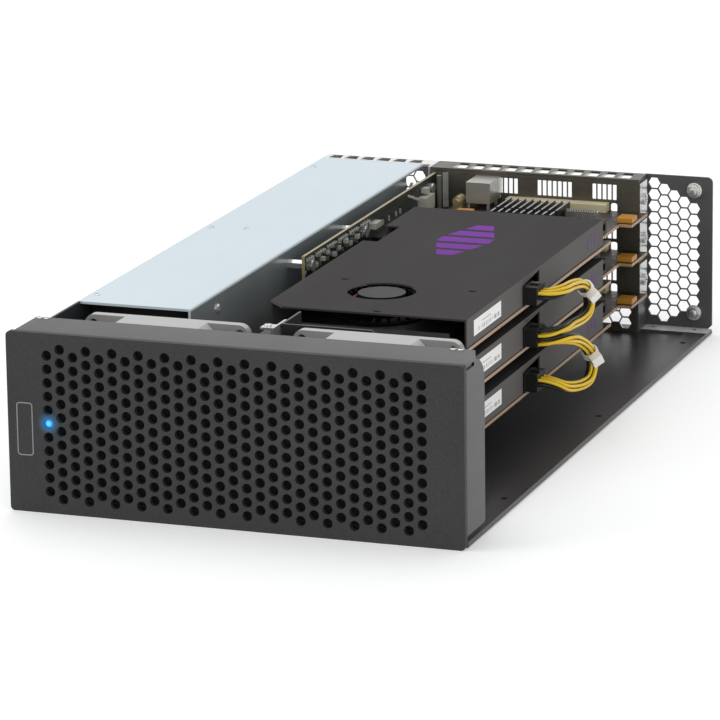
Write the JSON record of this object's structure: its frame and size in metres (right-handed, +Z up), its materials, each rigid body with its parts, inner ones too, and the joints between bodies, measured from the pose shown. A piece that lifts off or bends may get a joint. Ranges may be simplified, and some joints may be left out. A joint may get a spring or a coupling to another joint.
{
  "type": "expansion chassis",
  "caption": "Half-width expansion chassis without its outer cover, with a perforated front plate, fans, a power supply and stacked add-in cards.",
  "frame": {"origin": "centre of the footprint, at the lower edge of the front plate", "axes": "+X to the right seen from the front, +Y towards the rear panels, +Z up"},
  "size_m": [0.2164, 0.402, 0.0841],
  "materials": {
    "plate": "fine matte grey-black coat",
    "frame_sheet": "satin grey coat",
    "dark_sheet": "satin near-black coat",
    "galvanised": "smooth galvanised sheet with a cool tint",
    "screws": "bright plated steel",
    "light_lens": "clear blue lens",
    "black_plastic": "moulded black",
    "fan_plastic": "warm grey moulding",
    "board": "dark green solder mask",
    "card_board": "copper-brown laminate edge, dark mask",
    "shroud": "dark grey satin coat",
    "bracket_metal": "dull plated steel",
    "cooler": "bare aluminium",
    "black_metal": "black anodised",
    "port_metal": "tinned steel",
    "pale_parts": "pale components",
    "pale_plastic": "cream moulding",
    "white_plastic": "natural nylon",
    "amber_parts": "amber resin",
    "brass_parts": "gold-tinted brass",
    "yellow_wire": "yellow wire jacket",
    "black_wire": "black wire jacket"
  },
  "bodies": {
    "chassis": {"front_plate": "plate", "front_frame": "frame_sheet", "base_tray": "dark_sheet", "base_rail": "dark_sheet", "left_wall": "dark_sheet", "rear_panel_right": "frame_sheet", "rear_wall": "frame_sheet", "rear_vents": "frame_sheet", "rear_flange": "galvanised", "rear_panel_left": "galvanised", "frame_screws": "screws", "captive_screws": "screws", "status_light": "light_lens", "light_holder": "black_plastic", "psu_cover": "galvanised", "psu_unit": "dark_sheet", "psu_screws": "screws", "mains_inlet": "black_plastic", "fan_frame_left": "fan_plastic", "fan_frame_right": "fan_plastic", "support_bracket": "dark_sheet", "support_tab": "screws", "backplane": "board", "slot_connectors": "black_plastic", "backplane_parts": "pale_parts", "backplane_standoffs": "screws", "rear_post": "pale_plastic", "interface_board": "board", "data_ports": "port_metal", "card_board_1": "card_board", "card_board_2": "card_board", "card_board_3": "card_board", "card_shroud_1": "shroud", "card_shroud_2": "shroud", "card_shroud_3": "shroud", "card_bracket_1": "bracket_metal", "card_bracket_2": "bracket_metal", "card_bracket_3": "bracket_metal", "card_coolers": "cooler", "card_sockets": "black_plastic", "card_heat_sinks": "black_metal", "card_ports": "port_metal", "card_port_blocks": "pale_plastic", "card_pin_headers": "black_plastic", "card_edge_headers": "black_plastic", "card_capacitors": "amber_parts", "card_coax": "brass_parts", "bracket_screws": "screws", "power_plugs": "black_plastic", "wires_yellow_1": "yellow_wire", "wires_black_1": "black_wire", "wires_yellow_2": "yellow_wire", "wires_black_2": "black_wire", "zip_ties": "white_plastic"},
    "fan_rotor_left_body": {"fan_rotor_left": "black_plastic"},
    "fan_rotor_right_body": {"fan_rotor_right": "black_plastic"},
    "blower_rotor_1_body": {"blower_rotor_1": "black_plastic"},
    "blower_rotor_2_body": {"blower_rotor_2": "black_plastic"},
    "blower_rotor_3_body": {"blower_rotor_3": "black_plastic"}
  },
  "joints": [
    {"name": "fan_spin_left", "type": "hinge", "parent": "chassis", "child": "fan_rotor_left_body", "pos_m": [-0.04965, -0.1622, 0.0416], "axis": [0, 1, 0], "continuous": true},
    {"name": "fan_spin_right", "type": "hinge", "parent": "chassis", "child": "fan_rotor_right_body", "pos_m": [0.05155, -0.1622, 0.0416], "axis": [0, 1, 0], "continuous": true},
    {"name": "blower_spin_1", "type": "hinge", "parent": "chassis", "child": "blower_rotor_1_body", "pos_m": [0.02242, -0.0647, 0.0718], "axis": [0, 0, 1], "continuous": true},
    {"name": "blower_spin_2", "type": "hinge", "parent": "chassis", "child": "blower_rotor_2_body", "pos_m": [0.02242, -0.0647, 0.05148], "axis": [0, 0, 1], "continuous": true},
    {"name": "blower_spin_3", "type": "hinge", "parent": "chassis", "child": "blower_rotor_3_body", "pos_m": [0.02242, -0.0647, 0.02956], "axis": [0, 0, 1], "continuous": true}
  ]
}
